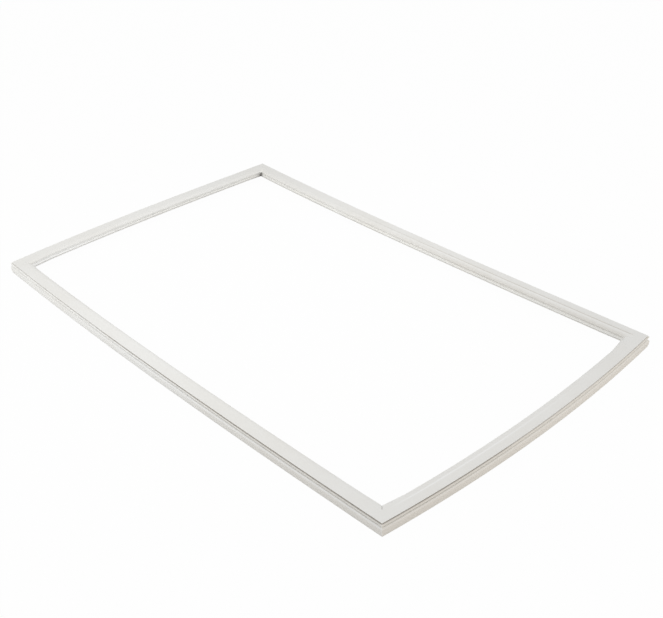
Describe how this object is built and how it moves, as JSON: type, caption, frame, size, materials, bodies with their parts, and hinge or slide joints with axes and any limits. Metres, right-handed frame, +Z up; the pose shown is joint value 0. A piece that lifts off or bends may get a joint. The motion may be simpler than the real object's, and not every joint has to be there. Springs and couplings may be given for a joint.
{
  "type": "refrigerator door gasket",
  "caption": "Welded soft PVC refrigerator door gasket frame: magnet pocket, sealing lip, air bulb, bellows, skirt and push-in dart, with magnet strips inside the pocket.",
  "frame": {"origin": "middle of the footprint, on the surface that the gasket lies on", "axes": "+X along the long sides, +Y along the short sides, +Z up out of the sealing face"},
  "size_m": [0.9452, 0.5882, 0.0215],
  "materials": {
    "soft_pvc": "off-white soft PVC with a low satin sheen",
    "magnet_strip": "matt dark grey-brown bonded ferrite"
  },
  "bodies": {
    "root": {"gasket_frame": "soft_pvc", "magnet_strip_front": "magnet_strip", "magnet_strip_right": "magnet_strip", "magnet_strip_back": "magnet_strip", "magnet_strip_left": "magnet_strip"}
  },
  "joints": []
}
